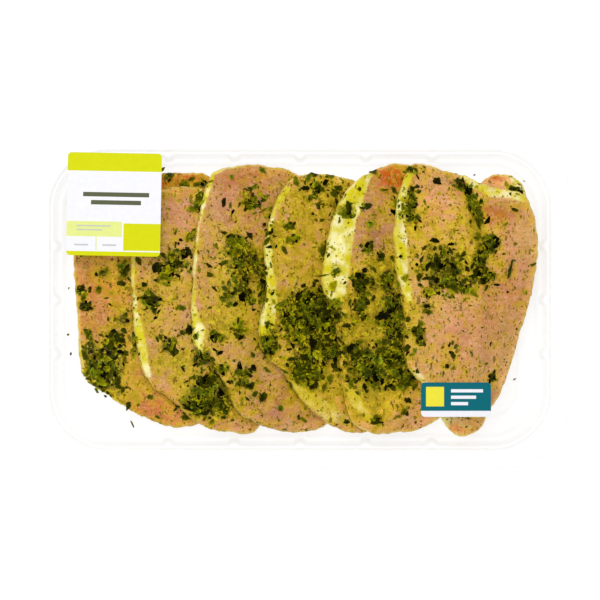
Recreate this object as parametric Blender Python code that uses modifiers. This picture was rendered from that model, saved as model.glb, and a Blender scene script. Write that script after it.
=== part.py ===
"""Sealed clear tray of marinated pork loin slices.

A thermoformed tray holds seven slices laid like roof tiles, each with its left edge on the one
before. A lid film is sealed on the rim, and two paper labels are stuck on the film.
The origin is at the middle of the footprint, on the surface the tray stands on. +X runs along
the tray's long side, +Y across it and +Z up.
"""

import math
import random

import bmesh
import bpy
import numpy as np
from mathutils import Matrix, Vector
from mathutils.bvhtree import BVHTree

MM = 0.001
CLEARANCE = 0.3 * MM  # between pieces that touch

# Tray
RIM_LENGTH = 270 * MM
RIM_WIDTH = 169 * MM
RIM_RADIUS = 33 * MM
RIM_HEIGHT = 40 * MM
LIP_DROP = 3 * MM
SEAL_WIDTH = 9.6 * MM
MOUTH_RADIUS = 29 * MM
WALL = 0.7 * MM
PANEL_RISE = 1.5 * MM
RIB_HALF_WIDTH = 3.4 * MM
RIB_TOP_HALF_WIDTH = 1.1 * MM
LONG_SIDE_RIBS = (-66 * MM, -33 * MM, 0, 33 * MM, 66 * MM)
SHORT_SIDE_RIBS = (-27 * MM, 0, 27 * MM)
CORNER_STEPS = 6

# Each station of the tray's inside, from the lip to the floor panel:
# inset from the rim's edge, corner radius, height and how far the ribs stand in
TRAY_STATIONS = (
    (0.0 * MM, RIM_RADIUS, RIM_HEIGHT - LIP_DROP, 0.0),
    (0.5 * MM, RIM_RADIUS - 0.5 * MM, RIM_HEIGHT, 0.0),
    (SEAL_WIDTH, MOUTH_RADIUS, RIM_HEIGHT, 0.0),
    (SEAL_WIDTH + 0.6 * MM, MOUTH_RADIUS - 0.4 * MM, RIM_HEIGHT - 4 * MM, 0.0),
    (SEAL_WIDTH + 1.8 * MM, MOUTH_RADIUS - 1.4 * MM, RIM_HEIGHT - 5 * MM, 0.0),
    (SEAL_WIDTH + 2.3 * MM, MOUTH_RADIUS - 1.8 * MM, RIM_HEIGHT - 9 * MM, 1.5 * MM),
    (SEAL_WIDTH + 5.2 * MM, MOUTH_RADIUS - 4 * MM, 5 * MM, 1.0 * MM),
    (SEAL_WIDTH + 8.6 * MM, MOUTH_RADIUS - 7 * MM, WALL, 0.0),
    (SEAL_WIDTH + 15 * MM, MOUTH_RADIUS - 13 * MM, WALL, 0.0),
    (SEAL_WIDTH + 17 * MM, MOUTH_RADIUS - 15 * MM, WALL + PANEL_RISE, 0.0),
)

# Lid film and labels
FILM = 0.2 * MM
FILM_INSET = 1 * MM
LABEL = 0.2 * MM
LABEL_RADIUS = 2 * MM
# name: centre, width, height, turn in degrees, colour
LABELS = {
    "price_label": ((-93 * MM, 47.8 * MM), 47 * MM, 51.5 * MM, -1.1, (0.72, 0.8, 0.02)),
    "quality_label": ((78 * MM, -49.8 * MM), 35 * MM, 17.2 * MM, 0.0, (0.0, 0.2, 0.22)),
}

# Meat
SLICE_THICKNESS = 8.6 * MM
EDGE_ROUND = 2.2 * MM
PILE_GAP = 0.8 * MM  # between slices, more than their facets stray from the true surface
GRID = 2 * MM
SAG = 0.25  # how far a slice sinks from a stiff board towards what is under it
SLICE_SIDES = 28
# Plan outlines in millimetres, anticlockwise from the left edge, in the order they were laid
OUTLINES = {
    "slice_1": ((-113, 0), (-111.5, -24), (-109.8, -37.5), (-103, -44.5), (-90, -52.5),
                (-76, -60.5), (-56, -64), (-42, -54), (-36, -15), (-36, 25), (-38, 56),
                (-48, 63.5), (-62, 64), (-87, 61), (-106, 51), (-114, 27)),
    "slice_2": ((-85, 9), (-83.5, -11), (-81, -28), (-77, -40), (-64, -51.5), (-50, -63),
                (-36, -66.5), (-20, -63), (-9, -25), (-9, 15), (-18, 46), (-44, 55.5),
                (-68, 56), (-80, 46), (-84, 30)),
    "slice_3": ((-54, 12), (-54.5, -10), (-53, -23.5), (-44, -32), (-37.5, -44), (-30, -57),
                (-16, -64.5), (2, -66.5), (17, -57), (22, -20), (20, 20), (8, 52), (-5, 65),
                (-22, 68), (-41, 66), (-47, 57), (-52.5, 33)),
    "slice_4": ((-17.5, 5), (-20.5, -11), (-19.5, -25), (-9, -37), (2, -52), (14, -62),
                (29, -67), (45, -60), (57, -28), (57, 8), (48, 42), (27, 60), (8, 64),
                (-4, 61), (-13, 48), (-18, 29)),
    "slice_7": ((66, -20), (68, -45), (71, -60), (76, -66.5), (84, -68.5), (93, -61), (99, -42),
                (103, -15), (109, 18), (114, 45), (112, 58), (103, 63.5), (92, 60), (78, 45),
                (68, 15)),
    "slice_5": ((10.5, 12), (14, -5), (18, -20), (20.5, -38), (24, -57), (33, -66),
                (51, -67), (67, -62), (80, -45), (88, -15), (87, 20), (76, 52), (58, 66),
                (42, 67.5), (27, 59), (17, 43)),
    "slice_6": ((48, 15), (51.5, -8), (51, -26), (57, -38.5), (70, -48), (86, -59), (97, -53),
                (105, -36.5), (111, -16), (116.7, 4), (119.3, 21), (118, 43), (111, 54),
                (95, 57), (84, 62.5), (72, 65.5), (57, 68.5), (50, 56), (46.5, 36)),
}
# The crease in the last slice, where it dips and rises again towards the tray's end
CREASE_START = (84 * MM, 60 * MM)
CREASE_END = (97 * MM, 22 * MM)
CREASE_DEPTH = 3.4 * MM
CREASE_HALF_WIDTH = 6 * MM

# Herb flakes
FLAKE_SEED = 7
FLAKES_A_SLICE = {"slice_1": 24, "slice_2": 22, "slice_3": 24, "slice_4": 24, "slice_5": 22,
                  "slice_6": 28, "slice_7": 2}
FLAKE_THICKNESS = 1.1 * MM
FLAKE_RADIUS = (1.5 * MM, 3.0 * MM)
FLAKE_MARGIN = 4.2 * MM  # from the slice's own edge and from the slices above
FLAKE_SPACING = 7 * MM

MEAT_COLOUR = (0.62, 0.36, 0.24)
CLEAR_COLOUR = (0.9, 0.93, 0.92)


def clear_scene():
    """Removes whatever the file held."""
    for obj in list(bpy.data.objects):
        bpy.data.objects.remove(obj, do_unlink=True)


def new_collection(name):
    made = bpy.data.collections.new(name)
    bpy.context.scene.collection.children.link(made)
    return made


def principled(name, colour, roughness, alpha=1.0):
    """A material with the piece's colour and gloss."""
    made = bpy.data.materials.new(name)
    made.use_nodes = True
    shader = made.node_tree.nodes["Principled BSDF"]
    shader.inputs["Base Color"].default_value = (*colour, 1.0)
    shader.inputs["Roughness"].default_value = roughness
    shader.inputs["Metallic"].default_value = 0.0
    shader.inputs["Alpha"].default_value = alpha
    made.diffuse_color = (*colour, alpha)
    return made


def add_object(name, mesh, collection, material):
    obj = bpy.data.objects.new(name, mesh)
    collection.objects.link(obj)
    obj.data.materials.append(material)
    return obj


def apply_modifiers(obj):
    """Replaces the object's mesh with its evaluated one."""
    graph = bpy.context.evaluated_depsgraph_get()
    mesh = bpy.data.meshes.new_from_object(obj.evaluated_get(graph))
    obj.modifiers.clear()
    obj.data = mesh


def corner_arc(centre, radius, start, steps):
    """Points of a quarter circle, anticlockwise from the angle start."""
    turn = math.pi / 2 / steps
    return [
        (
            centre[0] + radius * math.cos(start + turn * i),
            centre[1] + radius * math.sin(start + turn * i),
        )
        for i in range(steps + 1)
    ]


def side_with_ribs(ribs, depth, direction):
    """(place along the side, how far in) of a straight side's points, with a rib at each place."""
    points = []
    for rib in sorted(ribs, key=lambda place: place * direction):
        for offset, share in (
            (-RIB_HALF_WIDTH, 0.0),
            (-RIB_TOP_HALF_WIDTH, 1.0),
            (RIB_TOP_HALF_WIDTH, 1.0),
            (RIB_HALF_WIDTH, 0.0),
        ):
            points.append((rib + offset * direction, depth * share))
    return points


def ribbed_rectangle(half_length, half_width, radius, rib_depth):
    """Anticlockwise points of a rounded rectangle whose straight sides have ribs standing in."""
    across = half_width - radius
    along = half_length - radius
    quarter = math.pi / 2
    points = corner_arc((along, across), radius, 0, CORNER_STEPS)
    points += [(x, half_width - d) for x, d in side_with_ribs(LONG_SIDE_RIBS, rib_depth, -1)]
    points += corner_arc((-along, across), radius, quarter, CORNER_STEPS)
    points += [(-half_length + d, y) for y, d in side_with_ribs(SHORT_SIDE_RIBS, rib_depth, -1)]
    points += corner_arc((-along, -across), radius, 2 * quarter, CORNER_STEPS)
    points += [(x, -half_width + d) for x, d in side_with_ribs(LONG_SIDE_RIBS, rib_depth, 1)]
    points += corner_arc((along, -across), radius, 3 * quarter, CORNER_STEPS)
    points += [(half_length - d, y) for y, d in side_with_ribs(SHORT_SIDE_RIBS, rib_depth, 1)]
    return points


def make_tray(collection):
    """The tray as one lofted sheet, from the turned-down lip to the raised floor panel."""
    form = bmesh.new()
    rings = []
    for inset, radius, height, rib_depth in TRAY_STATIONS:
        outline = ribbed_rectangle(
            RIM_LENGTH / 2 - inset, RIM_WIDTH / 2 - inset, radius, rib_depth
        )
        rings.append([form.verts.new((x, y, height)) for x, y in outline])
    count = len(rings[0])
    for outer, inner in zip(rings, rings[1:]):
        for i in range(count):
            j = (i + 1) % count
            form.faces.new((outer[i], outer[j], inner[j], inner[i]))
    form.faces.new(rings[-1])
    mesh = bpy.data.meshes.new("tray")
    form.to_mesh(mesh)
    form.free()
    tray = add_object("tray", mesh, collection, principled("clear_plastic", CLEAR_COLOUR, 0.08, 0.3))
    shell = tray.modifiers.new("wall", "SOLIDIFY")
    shell.thickness = WALL
    shell.offset = -1
    shell.use_even_offset = True
    shell.use_quality_normals = True
    return tray


def flat_plate(name, outline, low, thickness, collection, material):
    """A thin plate: its outline as a face, extruded upwards."""
    form = bmesh.new()
    bottom = form.faces.new([form.verts.new((x, y, low)) for x, y in outline])
    raised = bmesh.ops.extrude_face_region(form, geom=[bottom], use_keep_orig=True)
    for item in raised["geom"]:
        if isinstance(item, bmesh.types.BMVert):
            item.co.z += thickness
    bmesh.ops.recalc_face_normals(form, faces=form.faces)
    mesh = bpy.data.meshes.new(name)
    form.to_mesh(mesh)
    form.free()
    return add_object(name, mesh, collection, material)


def rounded_rectangle(half_length, half_width, radius, steps):
    """Anticlockwise points of a plain rounded rectangle."""
    corners = ((1, 1), (-1, 1), (-1, -1), (1, -1))
    points = []
    for number, (right, up) in enumerate(corners):
        centre = (right * (half_length - radius), up * (half_width - radius))
        points += corner_arc(centre, radius, number * math.pi / 2, steps)
    return points


def make_film(collection):
    """The lid film, stretched flat over the mouth and sealed to the rim."""
    outline = rounded_rectangle(
        RIM_LENGTH / 2 - FILM_INSET, RIM_WIDTH / 2 - FILM_INSET, RIM_RADIUS - FILM_INSET, 8
    )
    return flat_plate(
        "lid_film",
        outline,
        RIM_HEIGHT + CLEARANCE,
        FILM,
        collection,
        principled("clear_film", CLEAR_COLOUR, 0.05, 0.2),
    )


def make_labels(collection):
    """The two paper labels on the film."""
    height = RIM_HEIGHT + 2 * CLEARANCE + FILM
    for name, (centre, width, depth, turn, colour) in LABELS.items():
        outline = rounded_rectangle(width / 2, depth / 2, LABEL_RADIUS, 4)
        label = flat_plate(
            name, outline, height, LABEL, collection, principled(name, colour, 0.4)
        )
        label.location.x, label.location.y = centre
        label.rotation_euler.z = math.radians(turn)


def smooth_outline(points, count):
    """count points of the closed Catmull-Rom curve through points, in metres."""
    control = np.array(points, float) * MM
    places = np.arange(count) * len(control) / count
    index = places.astype(int)
    t = (places - index)[:, None]
    before, start, end, after = (control[(index + k) % len(control)] for k in (-1, 0, 1, 2))
    return 0.5 * (
        2 * start
        + (end - before) * t
        + (2 * before - 5 * start + 4 * end - after) * t**2
        + (3 * start - before - 3 * end + after) * t**3
    )


def grid_axes():
    """The places of the height grid's columns and rows, over the tray's floor."""
    half_x = RIM_LENGTH / 2 - SEAL_WIDTH
    half_y = RIM_WIDTH / 2 - SEAL_WIDTH
    return np.arange(-half_x, half_x + GRID, GRID), np.arange(-half_y, half_y + GRID, GRID)


def inside_outline(px, py, outline):
    """Which places lie inside a closed outline, by crossing count."""
    ax, ay = outline.T
    bx, by = np.roll(outline, -1, axis=0).T
    x, y = px[..., None], py[..., None]
    crosses = (ay > y) != (by > y)
    rise = np.where(ay == by, 1.0, by - ay)
    left = x < ax + (bx - ax) * (y - ay) / rise
    return (crosses & left).sum(axis=-1) % 2 == 1


def edge_distance(px, py, outline):
    """Distance from each point to the nearest of the outline's points."""
    away = np.hypot(px[..., None] - outline[:, 0], py[..., None] - outline[:, 1])
    return away.min(axis=-1)


def upper_envelope(heights):
    """A stiff board laid along a row of heights: the lowest concave line over them."""
    hull = []
    for point in enumerate(heights):
        while len(hull) > 1:
            (x0, z0), (x1, z1) = hull[-2:]
            if (z1 - z0) * (point[0] - x1) > (point[1] - z1) * (x1 - x0):
                break
            hull.pop()
        hull.append(point)
    places, tops = zip(*hull)
    return np.interp(np.arange(len(heights)), places, tops)


def board_over(heights, mask):
    """The envelope along each row of the grid, within the mask."""
    laid = heights.copy()
    for row, held in enumerate(mask):
        columns = np.flatnonzero(held)
        if len(columns) > 1:
            span = slice(columns[0], columns[-1] + 1)
            laid[row, span] = upper_envelope(heights[row, span])
    return laid


def blurred(heights, mask, passes):
    """The heights inside the mask, evened out and carried past its edge."""
    value = np.where(mask, heights, 0.0)
    weight = mask.astype(float)
    for _ in range(passes):
        for axis in (0, 1):
            value = (np.roll(value, 1, axis) + 2 * value + np.roll(value, -1, axis)) / 4
            weight = (np.roll(weight, 1, axis) + 2 * weight + np.roll(weight, -1, axis)) / 4
    return value / np.maximum(weight, 1e-9)


def widened(heights, cells):
    """Each place's highest height within a number of cells, so ridges and edges grow."""
    for _ in range(cells):
        for axis in (0, 1):
            sides = np.roll(heights, 1, axis), np.roll(heights, -1, axis)
            heights = np.maximum(heights, np.maximum(*sides))
    return heights


def rounded_distance(px, py, half_x, half_y, radius):
    """Distance in from a rounded rectangle's edge, negative outside it."""
    qx = np.abs(px) - (half_x - radius)
    qy = np.abs(py) - (half_y - radius)
    outside = np.hypot(np.maximum(qx, 0), np.maximum(qy, 0))
    return radius - outside - np.minimum(np.maximum(qx, qy), 0)


def tray_floor(px, py):
    """Height of the tray's inside: the panel's level, rising where floor meets wall."""
    inset, radius, wall_foot, _ = TRAY_STATIONS[6]
    floor_inset = TRAY_STATIONS[7][0]
    into = rounded_distance(px, py, RIM_LENGTH / 2 - inset, RIM_WIDTH / 2 - inset, radius)
    rise = (wall_foot - WALL) / (floor_inset - inset)
    panel = WALL + PANEL_RISE
    return np.maximum(panel, wall_foot - rise * (into - TRAY_STATIONS[6][3]))


def edge_height(inset):
    """Share of the slice's thickness at a distance in from its edge."""
    return np.sqrt(np.clip(1 - (1 - np.clip(inset, 0, EDGE_ROUND) / EDGE_ROUND) ** 2, 0, 1))


def crease(px, py):
    """Depth of the last slice's crease, widest in its middle and fading at both ends."""
    start, end = Vector(CREASE_START), Vector(CREASE_END)
    run = end - start
    along = ((px - start.x) * run.x + (py - start.y) * run.y) / run.length_squared
    off = ((px - start.x) * run.y - (py - start.y) * run.x) / run.length
    fade = np.clip(1.25 - np.abs(along - 0.4) * 1.6, 0, 1)
    return CREASE_DEPTH * fade * np.exp(-((off / CREASE_HALF_WIDTH) ** 2) * 2)


def unevenness(px, py, phase):
    """Gentle swells of a hand-cut slice, as a share of its thickness."""
    return 0.05 * (
        np.sin(px * 95 + phase) * np.cos(py * 60 - 2 * phase) + 0.6 * np.sin(py * 130 + px * 40 + phase)
    )


class Pile:
    """The slices as height fields, each laid on what is under it."""

    def __init__(self):
        self.xs, self.ys = grid_axes()
        self.px, self.py = np.meshgrid(self.xs, self.ys)
        self.support = tray_floor(self.px, self.py)
        self.bottoms = {}
        self.phases = {name: 1.7 * number for number, name in enumerate(OUTLINES)}
        self.outlines = {name: smooth_outline(points, 240) for name, points in OUTLINES.items()}
        for name, outline in self.outlines.items():
            self.lay(name, outline)

    def lay(self, name, outline):
        """Works out the underside of the next slice and adds the slice to the support."""
        mask = inside_outline(self.px, self.py, outline)
        under = widened(self.support, 2)
        stiff = under
        for _ in range(2):
            stiff = board_over(stiff, mask)
            stiff = board_over(stiff.T, mask.T).T
        laid = stiff - SAG * (stiff - under)
        laid = blurred(laid, mask, 4)
        lifted = np.where(mask, np.maximum(laid, under), laid) + PILE_GAP
        evened = blurred(lifted, mask, 1)
        beyond = blurred(evened, mask, 8)
        self.bottoms[name] = np.where(mask, evened, beyond)
        inset = edge_distance(self.px, self.py, outline)
        top = self.bottoms[name] + self.thickness(name, self.px, self.py) * edge_height(inset)
        self.support = np.where(mask, np.maximum(self.support, top), self.support)

    def thickness(self, name, px, py):
        """The slice's thickness at a place, the crease included."""
        full = SLICE_THICKNESS * (1 + unevenness(px, py, self.phases[name]))
        return full - crease(px, py) if name == "slice_6" else full

    def underside(self, name, px, py):
        """Height of the slice's underside at any places, read between the grid's points."""
        u = np.clip((px - self.xs[0]) / GRID, 0, len(self.xs) - 1.001)
        v = np.clip((py - self.ys[0]) / GRID, 0, len(self.ys) - 1.001)
        i, j = u.astype(int), v.astype(int)
        fu, fv = u - i, v - j
        z = self.bottoms[name]
        low = z[j, i] * (1 - fu) + z[j, i + 1] * fu
        high = z[j + 1, i] * (1 - fu) + z[j + 1, i + 1] * fu
        return low * (1 - fv) + high * fv

    def above(self, name):
        """The outlines of the slices laid after this one."""
        names = list(self.outlines)
        return [self.outlines[other] for other in names[names.index(name) + 1 :]]


# Rings of a slice from its underside's middle to its top's middle: inset from the edge, or
# None with the share of the way out from the middle, then the share of the thickness
SLICE_RINGS = (
    (None, 0.25, 0.14),
    (None, 0.5, 0.14),
    (None, 0.75, 0.12),
    (4 * MM, 1.0, 0.1),
    (1.2 * MM, 1.0, 0.06),
    (0.0, 1.0, 0.25),
    (0.0, 1.0, 0.74),
    (0.7 * MM, 1.0, 0.94),
    (2.4 * MM, 1.0, 1.0),
    (9 * MM, 1.0, 1.0),
    (None, 0.5, 1.0),
    (None, 0.2, 1.0),
)


def slice_ring(pile, name, outline, middle, inset, share, height):
    """Points of one ring round the slice, at a share of its thickness."""
    out = outline - middle
    reach = np.linalg.norm(out, axis=1, keepdims=True)
    ring = middle + out * (share if inset is None else 1 - inset / reach)
    low = pile.underside(name, ring[:, 0], ring[:, 1])
    deep = pile.thickness(name, ring[:, 0], ring[:, 1])
    return np.column_stack((ring, low + deep * height))


def make_slice(pile, name, collection, material):
    """One slice of meat: rings from the middle of its underside, round its edge, to its top."""
    outline = smooth_outline(OUTLINES[name], SLICE_SIDES)
    middle = outline.mean(axis=0)
    form = bmesh.new()
    rings = []
    for inset, share, height in SLICE_RINGS:
        points = slice_ring(pile, name, outline, middle, inset, share, height)
        rings.append([form.verts.new(point) for point in points])
    for lower, upper in zip(rings, rings[1:]):
        for i in range(SLICE_SIDES):
            j = (i + 1) % SLICE_SIDES
            form.faces.new((lower[i], lower[j], upper[j], upper[i]))
    for ring, height in ((rings[0], 0.14), (rings[-1], 1.0)):
        low = pile.underside(name, middle[:1], middle[1:])[0]
        deep = pile.thickness(name, middle[0], middle[1])
        pole = form.verts.new((*middle, low + deep * height))
        for i in range(SLICE_SIDES):
            j = (i + 1) % SLICE_SIDES
            form.faces.new((ring[i], ring[j], pole))
    bmesh.ops.recalc_face_normals(form, faces=form.faces)
    mesh = bpy.data.meshes.new(name)
    form.to_mesh(mesh)
    form.free()
    mesh.shade_smooth()
    return add_object(name, mesh, collection, material)


def flake_places(pile, name, draw):
    """Seeded places on the part of a slice's top that shows, spread evenly."""
    outline = pile.outlines[name]
    low, high = outline.min(axis=0), outline.max(axis=0)
    tries = np.array([(draw.uniform(low[0], high[0]), draw.uniform(low[1], high[1]))
                      for _ in range(3000)])
    px, py = tries.T
    shows = inside_outline(px, py, outline) & (edge_distance(px, py, outline) > FLAKE_MARGIN)
    for cover in pile.above(name):
        shows &= ~inside_outline(px, py, cover) & (edge_distance(px, py, cover) > FLAKE_MARGIN)
    places = []
    for x, y in tries[shows]:
        if min((math.hypot(x - a, y - b) for a, b in places), default=1.0) > FLAKE_SPACING:
            places.append((x, y))
    return places[: FLAKES_A_SLICE[name]]


def make_flake(surface, place, draw, collection):
    """A torn scrap of herb leaf, a flat prism sunk half its thickness into the meat."""
    spot, normal, _, _ = surface.ray_cast(Vector((*place, 1.0)), Vector((0, 0, -1)))
    form = bmesh.new()
    size = draw.uniform(*FLAKE_RADIUS)
    bmesh.ops.create_cone(
        form,
        cap_ends=True,
        segments=draw.choice((4, 5, 5)),
        radius1=size,
        radius2=size * 0.85,
        depth=FLAKE_THICKNESS,
    )
    stretch = draw.uniform(0.5, 0.95)
    for vert in form.verts:
        vert.co.x *= stretch * draw.uniform(0.85, 1.15)
        vert.co.y *= draw.uniform(0.85, 1.15)
    turn = normal.to_track_quat("Z", "Y").to_matrix().to_4x4()
    spin = Matrix.Rotation(draw.uniform(0, math.tau), 4, "Z")
    form.transform(Matrix.Translation(spot) @ turn @ spin)
    mesh = bpy.data.meshes.new("flake")
    form.to_mesh(mesh)
    form.free()
    flake = bpy.data.objects.new("flake", mesh)
    collection.objects.link(flake)
    return flake


def fuse_flakes(meat, flakes, collection):
    """Joins the herb flakes to their slice and removes the loose ones."""
    join = meat.modifiers.new("flakes", "BOOLEAN")
    join.operation = "UNION"
    join.operand_type = "COLLECTION"
    join.collection = collection
    join.solver = "EXACT"
    apply_modifiers(meat)
    for flake in flakes:
        bpy.data.objects.remove(flake, do_unlink=True)
    bpy.data.collections.remove(collection)


def make_meat(collection):
    """All slices, each with its herb flakes fused on."""
    pile = Pile()
    material = principled("marinated_pork", MEAT_COLOUR, 0.3)
    draw = random.Random(FLAKE_SEED)
    for name in OUTLINES:
        meat = make_slice(pile, name, collection, material)
        loose = new_collection(f"{name}_flakes")
        surface = BVHTree.FromPolygons(
            [vert.co for vert in meat.data.vertices],
            [face.vertices for face in meat.data.polygons],
        )
        flakes = [
            make_flake(surface, place, draw, loose) for place in flake_places(pile, name, draw)
        ]
        fuse_flakes(meat, flakes, loose)


def main():
    clear_scene()
    collection = new_collection("meat_tray_pack")
    make_tray(collection)
    make_meat(collection)
    make_film(collection)
    make_labels(collection)


main()
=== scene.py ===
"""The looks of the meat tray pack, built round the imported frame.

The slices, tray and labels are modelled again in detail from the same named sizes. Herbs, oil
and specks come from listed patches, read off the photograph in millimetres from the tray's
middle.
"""

import math
import random

import bmesh
import bpy
import numpy as np
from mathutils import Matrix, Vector, noise
from mathutils.bvhtree import BVHTree


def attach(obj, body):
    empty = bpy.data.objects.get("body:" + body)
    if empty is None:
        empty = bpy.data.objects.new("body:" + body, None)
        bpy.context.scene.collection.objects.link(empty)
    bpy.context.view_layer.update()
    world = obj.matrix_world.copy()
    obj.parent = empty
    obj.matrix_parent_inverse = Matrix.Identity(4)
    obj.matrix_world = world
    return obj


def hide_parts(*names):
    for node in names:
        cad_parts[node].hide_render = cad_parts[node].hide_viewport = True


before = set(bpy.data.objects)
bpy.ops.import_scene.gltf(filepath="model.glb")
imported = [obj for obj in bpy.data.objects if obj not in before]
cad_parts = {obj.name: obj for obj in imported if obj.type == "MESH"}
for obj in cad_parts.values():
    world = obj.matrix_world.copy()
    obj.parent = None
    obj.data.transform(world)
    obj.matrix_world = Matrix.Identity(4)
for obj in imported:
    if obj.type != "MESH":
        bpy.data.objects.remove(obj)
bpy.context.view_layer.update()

MM = 0.001
CLEARANCE = 0.3 * MM

# Tray, as the solids have it
RIM_LENGTH = 270 * MM
RIM_WIDTH = 169 * MM
RIM_HEIGHT = 40 * MM
SEAL_WIDTH = 9.6 * MM
MOUTH_RADIUS = 29 * MM
WALL = 0.7 * MM
PANEL_RISE = 1.5 * MM
WALL_FOOT = 5 * MM  # height where the wall meets the floor
WALL_FOOT_INSET = SEAL_WIDTH + 5.2 * MM
FLOOR_INSET = SEAL_WIDTH + 8.6 * MM
FILM = 0.2 * MM
LABEL = 0.2 * MM
RIBS_LONG = (-66, -33, 0, 33, 66)
RIBS_SHORT = (-27, 0, 27)
RIB_HALF_WIDTH = 3.4  # at its foot, in millimetres
RIB_FLANK = 2.3  # of which the sloping flank is this wide
SIDE_POINTS = (197, 95)  # along a long side and a short one
# The tray's rings from the lip inwards, in millimetres: inset from the rim's edge, corner
# radius, height, how far the ribs stand in, and then how much painted shade marks the bend there
TRAY_STATIONS = (
    (0, 33, 37, 0, 0.5), (0.15, 32.85, 39.4, 0, 0.5), (0.6, 32.4, 39.93, 0, 0.3), (1, 32, 40, 0, 0),
    (2, 31.8, 40, 0, 0), (2.3, 31.7, 40, 0, 0.3), (2.6, 31.6, 40, 0, 0), (9.3, 29.3, 40, 0, 0),
    (9.7, 29, 39.6, 0, 0.2), (10.1, 28.7, 38.6, 0, 1), (10.4, 28.4, 36, 0.1, 0.2),
    (11.2, 27.8, 35.2, 0.5, 0), (11.6, 27.4, 34, 1.2, 0.25), (11.95, 27.1, 31, 1.5, 0.25),
    (12.4, 26.8, 27, 1.45, 0), (13.4, 26, 18, 1.35, 0), (14.6, 25.2, 7, 1.1, 0),
    (15.4, 24.6, 3.6, 0.8, 0.2), (16.8, 23.4, 1.4, 0.3, 0.2), (18.4, 21.9, 0.7, 0, 0),
    (24, 16.6, 0.7, 0, 0), (24.8, 15.8, 0.95, 0, 0.1), (26.2, 14.4, 2.1, 0, 0.1),
    (27, 13.6, 2.2, 0, 0),
)
CORNER_STEPS = 24
SIDE_END = 0.5  # from a corner's arc to the side's next point, in millimetres

LABEL_TONES = {
    "white": (240, 240, 246), "lime": (213, 216, 0), "pale_lime": (226, 234, 140),
    "ink": (92, 96, 70), "faint_ink": (196, 198, 192), "teal": (0, 104, 116),
    "yellow": (238, 226, 60),
}
# Labels: node, slot, centre, size, turn in degrees, tones, then the printed fields, each with
# the number of its tone and its box
LABELS = (
    ("price_label", "lime_label", (-93, 47.8), (47, 51.5), -1.1,
     ("white", "lime", "pale_lime", "ink", "faint_ink"),
     ((1, -24, 16.6, 24, 26), (2, -24, -16.2, 4.2, -8.6), (1, 5, -23, 24, -9.4),
      (2, -8.9, -23, -8.3, -16.2), (1, -24, -26, 24, -23.6), (3, -15.5, 3.8, 17.5, 6),
      (3, -11.5, -0.2, 13.5, 2), (4, -18.5, -11.2, -1.5, -10.5), (4, -18.5, -13.2, -5.5, -12.5),
      (4, -19.5, -20.8, -12.5, -20), (4, -5.5, -20.8, 1.5, -20))),
    ("quality_label", "teal_label", (78, -49.8), (35, 17.2), 0, ("white", "teal", "yellow"),
     ((1, -18, -5.6, 18, 9), (2, -15, -3.4, -6, 6.4), (0, -2.5, 3.6, 13.5, 5.2),
      (0, -2.5, 0.4, 10, 2), (0, -2.5, -2.8, 6, -1.2))),
)
LABEL_CORNER = 2
LABEL_CORNER_STEPS = 10
PRINT_SINK = 0.02 * MM  # how far a field stands into the paper, and over it
PRINT_STEP = 0.004 * MM  # and each field over the one before

# Meat, as the solids have it
SLICE_THICKNESS = 8.6 * MM
EDGE_ROUND = 2.2 * MM
PILE_GAP = 0.8 * MM
GRID = 2 * MM
GRID_AROUND = 240  # points round an outline when the slices are piled up
SAG = 0.25  # share of the way that a slice sinks from a stiff board's shape
OUTLINES = {
    "slice_1": ((-113, 0), (-111.5, -24), (-109.8, -37.5), (-103, -44.5), (-90, -52.5),
                (-76, -60.5), (-56, -64), (-42, -54), (-36, -15), (-36, 25), (-38, 56),
                (-48, 63.5), (-62, 64), (-87, 61), (-106, 51), (-114, 27)),
    "slice_2": ((-85, 9), (-83.5, -11), (-81, -28), (-77, -40), (-64, -51.5), (-50, -63),
                (-36, -66.5), (-20, -63), (-9, -25), (-9, 15), (-18, 46), (-44, 55.5),
                (-68, 56), (-80, 46), (-84, 30)),
    "slice_3": ((-54, 12), (-54.5, -10), (-53, -23.5), (-44, -32), (-37.5, -44), (-30, -57),
                (-16, -64.5), (2, -66.5), (17, -57), (22, -20), (20, 20), (8, 52), (-5, 65),
                (-22, 68), (-41, 66), (-47, 57), (-52.5, 33)),
    "slice_4": ((-17.5, 5), (-20.5, -11), (-19.5, -25), (-9, -37), (2, -52), (14, -62),
                (29, -67), (45, -60), (57, -28), (57, 8), (48, 42), (27, 60), (8, 64),
                (-4, 61), (-13, 48), (-18, 29)),
    "slice_7": ((66, -20), (68, -45), (71, -60), (76, -66.5), (84, -68.5), (93, -61), (99, -42),
                (103, -15), (109, 18), (114, 45), (112, 58), (103, 63.5), (92, 60), (78, 45),
                (68, 15)),
    "slice_5": ((10.5, 12), (14, -5), (18, -20), (20.5, -38), (24, -57), (33, -66),
                (51, -67), (67, -62), (80, -45), (88, -15), (87, 20), (76, 52), (58, 66),
                (42, 67.5), (27, 59), (17, 43)),
    "slice_6": ((48, 15), (51.5, -8), (51, -26), (57, -38.5), (70, -48), (86, -59), (97, -53),
                (105, -36.5), (111, -16), (116.7, 4), (119.3, 21), (118, 43), (111, 54),
                (95, 57), (84, 62.5), (72, 65.5), (57, 68.5), (50, 56), (46.5, 36)),
}
CREASE_START = (84 * MM, 60 * MM)
CREASE_END = (97 * MM, 22 * MM)
CREASE_DEPTH = 3.4 * MM
CREASE_HALF_WIDTH = 6 * MM

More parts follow.
